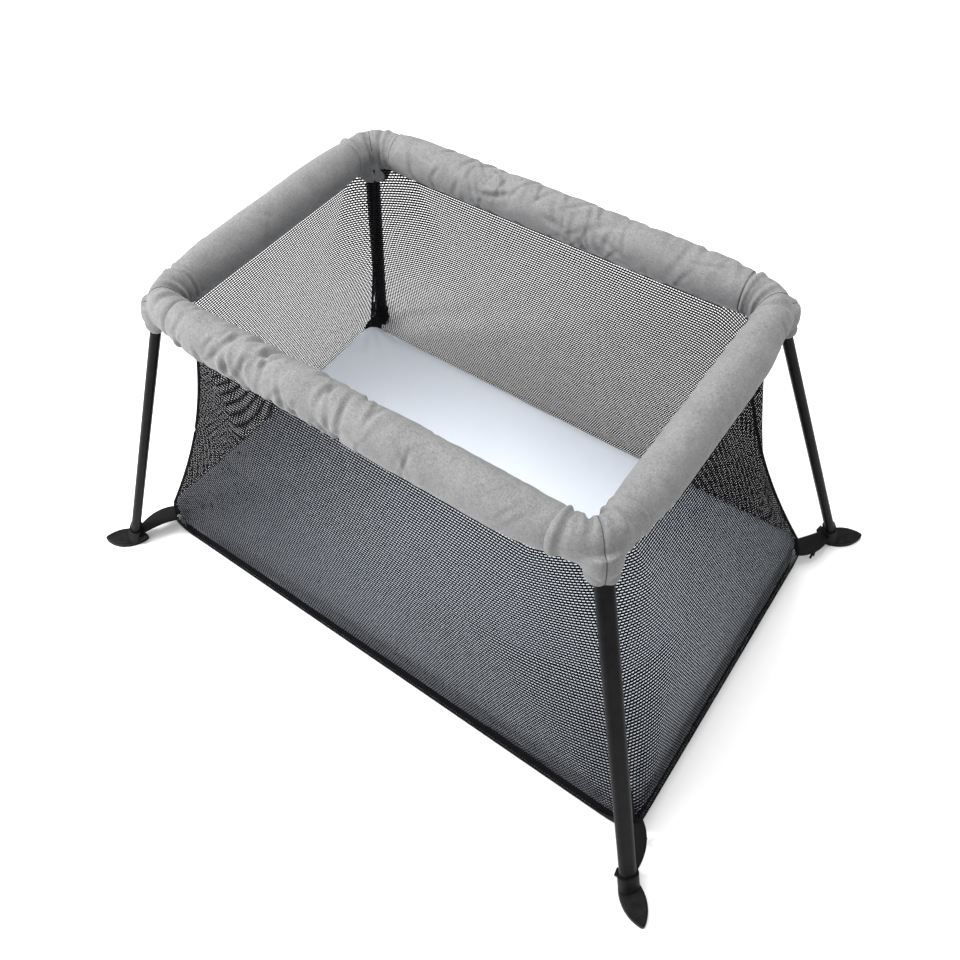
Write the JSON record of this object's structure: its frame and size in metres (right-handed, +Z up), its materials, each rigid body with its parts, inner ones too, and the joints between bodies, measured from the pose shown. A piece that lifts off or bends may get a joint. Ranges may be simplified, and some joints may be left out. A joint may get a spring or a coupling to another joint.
{
  "type": "playpen",
  "caption": "Travel playpen: padded rectangular rim on splayed oval legs, flared netting walls and a floor mattress; the rim folds in half and the legs fold in under it.",
  "frame": {"origin": "on the floor under the centre of the rim", "axes": "+X along the long side, towards the half that swings up when it folds; +Y to the back; +Z up"},
  "size_m": [1.2584, 0.8762, 0.6662],
  "materials": {
    "rail_tube": "satin",
    "leg_tube": "dark satin anodised",
    "moulded_black": "fine matte grain",
    "pin_steel": "plain",
    "rim_fabric": "light grey melange knit over padding",
    "netting": "black open netting",
    "webbing": "woven webbing",
    "floor_fabric": "plain weave",
    "mattress_foam": "covered foam",
    "sheet_fabric": "smooth cotton jersey"
  },
  "bodies": {
    "frame_left": {"short_rail_left": "rail_tube", "leg_pins_left": "pin_steel", "rivets_left": "pin_steel", "long_rail_front_left": "rail_tube", "corner_block_front_left": "moulded_black", "hinge_leaf_front_left": "moulded_black", "long_rail_back_left": "rail_tube", "corner_block_back_left": "moulded_black", "hinge_leaf_back_left": "moulded_black", "rim_sleeve_left": "rim_fabric", "rim_sleeve_front_left": "rim_fabric", "rim_sleeve_back_left": "rim_fabric", "corner_cap_front_left": "rim_fabric", "corner_cap_back_left": "rim_fabric", "wall_left": "netting", "hinge_pins": "pin_steel", "lock_springs": "pin_steel", "wall_front": "netting", "wall_back": "netting"},
    "frame_right": {"short_rail_right": "rail_tube", "leg_pins_right": "pin_steel", "rivets_right": "pin_steel", "long_rail_front_right": "rail_tube", "corner_block_front_right": "moulded_black", "hinge_leaf_front_right": "moulded_black", "long_rail_back_right": "rail_tube", "corner_block_back_right": "moulded_black", "hinge_leaf_back_right": "moulded_black", "rim_sleeve_right": "rim_fabric", "rim_sleeve_front_right": "rim_fabric", "rim_sleeve_back_right": "rim_fabric", "corner_cap_front_right": "rim_fabric", "corner_cap_back_right": "rim_fabric", "wall_right": "netting"},
    "floor": {"floor_panel": "floor_fabric", "mattress": "mattress_foam", "fitted_sheet": "sheet_fabric"},
    "lock_front": {"lock_button_front": "moulded_black"},
    "leg_front_left": {"leg_tube_front_left": "leg_tube", "leg_head_front_left": "moulded_black", "foot_front_left": "moulded_black", "strap_front_left": "webbing", "corner_fittings_front_left": "moulded_black"},
    "leg_front_right": {"leg_tube_front_right": "leg_tube", "leg_head_front_right": "moulded_black", "foot_front_right": "moulded_black", "strap_front_right": "webbing", "corner_fittings_front_right": "moulded_black"},
    "lock_back": {"lock_button_back": "moulded_black"},
    "leg_back_left": {"leg_tube_back_left": "leg_tube", "leg_head_back_left": "moulded_black", "foot_back_left": "moulded_black", "strap_back_left": "webbing", "corner_fittings_back_left": "moulded_black"},
    "leg_back_right": {"leg_tube_back_right": "leg_tube", "leg_head_back_right": "moulded_black", "foot_back_right": "moulded_black", "strap_back_right": "webbing", "corner_fittings_back_right": "moulded_black"}
  },
  "joints": [
    {"name": "rim_fold", "type": "hinge", "parent": "frame_left", "child": "frame_right", "pos_m": [0, 0, 0.644], "axis": [0, -1, 0], "range_deg": [0, 174], "deforming": ["rim_sleeve_left", "rim_sleeve_right", "rim_sleeve_front_left", "rim_sleeve_front_right", "rim_sleeve_back_left", "rim_sleeve_back_right", "corner_cap_front_left", "corner_cap_front_right", "corner_cap_back_left", "corner_cap_back_right", "strap_front_left", "strap_front_right", "strap_back_left", "strap_back_right", "wall_front", "wall_back", "wall_left", "wall_right", "floor_panel", "mattress", "fitted_sheet"]},
    {"name": "leg_fold_front_left", "type": "hinge", "parent": "frame_left", "child": "leg_front_left", "pos_m": [-0.40463, -0.26178, 0.602], "axis": [0.2141, -0.9636, 0.1599], "range_deg": [0, 102.81]},
    {"name": "leg_fold_front_right", "type": "hinge", "parent": "frame_right", "child": "leg_front_right", "pos_m": [0.40463, -0.26178, 0.602], "axis": [0.2141, 0.9636, -0.1599], "range_deg": [0, 102.81]},
    {"name": "leg_fold_back_left", "type": "hinge", "parent": "frame_left", "child": "leg_back_left", "pos_m": [-0.40463, 0.26178, 0.602], "axis": [-0.2141, -0.9636, -0.1599], "range_deg": [0, 102.81]},
    {"name": "leg_fold_back_right", "type": "hinge", "parent": "frame_right", "child": "leg_back_right", "pos_m": [0.40463, 0.26178, 0.602], "axis": [-0.2141, 0.9636, 0.1599], "range_deg": [0, 102.81]},
    {"name": "floor_rise", "type": "slide", "parent": "frame_left", "child": "floor", "axis": [0, 0, 1], "range_m": [0, 0.401]},
    {"name": "lock_press_front", "type": "slide", "parent": "frame_left", "child": "lock_front", "axis": [0, 0, 1], "range_m": [0, 0.005], "stiffness_N_per_m": 500, "springref_m": -0.004, "deforming": ["lock_springs"]},
    {"name": "lock_press_back", "type": "slide", "parent": "frame_left", "child": "lock_back", "axis": [0, 0, 1], "range_m": [0, 0.005], "stiffness_N_per_m": 500, "springref_m": -0.004}
  ],
  "couplings": [
    {"joint": "leg_fold_front_left", "follows": "rim_fold", "ratio": 0.59082},
    {"joint": "leg_fold_front_right", "follows": "rim_fold", "ratio": 0.59082},
    {"joint": "leg_fold_back_left", "follows": "rim_fold", "ratio": 0.59082},
    {"joint": "leg_fold_back_right", "follows": "rim_fold", "ratio": 0.59082},
    {"joint": "floor_rise", "follows": "rim_fold", "m_per_rad": 0.13171}
  ]
}
